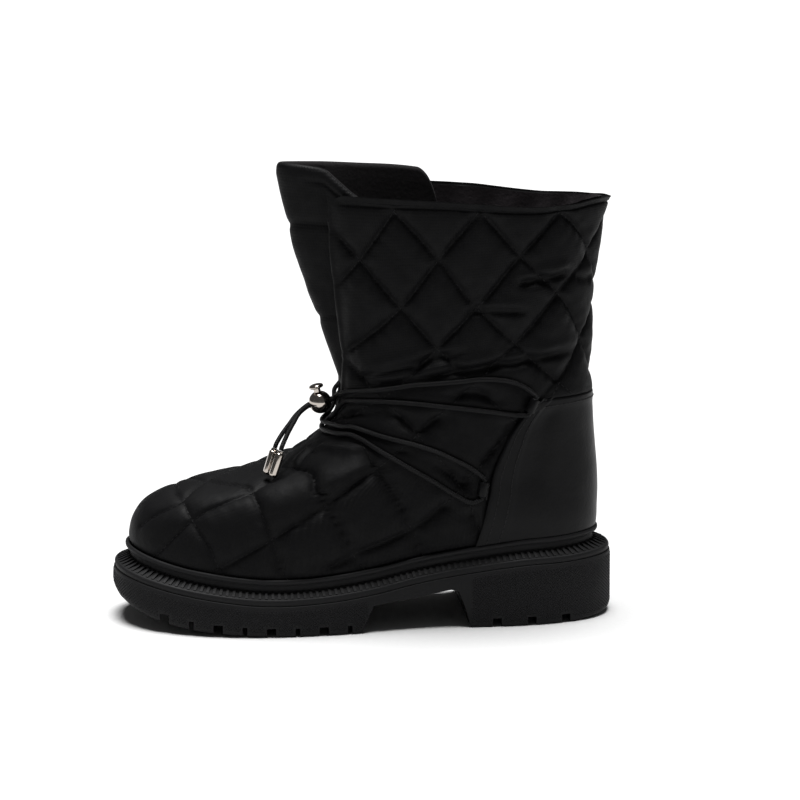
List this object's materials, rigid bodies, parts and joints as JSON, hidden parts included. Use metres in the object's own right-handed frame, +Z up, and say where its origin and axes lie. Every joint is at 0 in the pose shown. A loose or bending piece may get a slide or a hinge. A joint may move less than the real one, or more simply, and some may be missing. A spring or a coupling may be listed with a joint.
{
  "type": "padded boot",
  "caption": "Padded ankle boot for the left foot: quilted nylon upper with open front and tongue, leather heel counter, elastic drawcord with ball lock, lugged rubber sole.",
  "frame": {"origin": "on the floor under the middle of the boot's box", "axes": "+Z up from the floor, -Y towards the toe, +X towards the outer (lateral) side of the left foot"},
  "size_m": [0.1086, 0.2837, 0.2587],
  "materials": {
    "quilted_nylon": "satin",
    "black_leather": "semi-gloss",
    "black_rubber": "matte",
    "black_felt": "matte",
    "elastic_cord": "satin",
    "polished_nickel": "polished"
  },
  "bodies": {
    "boot": {"outsole": "black_rubber", "midsole": "black_rubber", "insole": "black_felt", "upper": "quilted_nylon", "heel_counter": "black_leather", "tongue": "quilted_nylon", "tab_lateral_upper": "black_leather", "tab_lateral_lower": "black_leather", "tab_medial_upper": "black_leather", "tab_medial_lower": "black_leather", "drawcord": "elastic_cord", "cord_lock_body": "polished_nickel", "cord_end_near": "elastic_cord", "cord_end_far": "elastic_cord", "cord_tip_near": "polished_nickel", "cord_tip_far": "polished_nickel"},
    "lock_button": {"cord_lock_button": "polished_nickel"}
  },
  "joints": [
    {"name": "button_press", "type": "slide", "parent": "boot", "child": "lock_button", "axis": [0, 0.2419, -0.9703], "range_m": [0, 0.0018], "stiffness_N_per_m": 300}
  ]
}
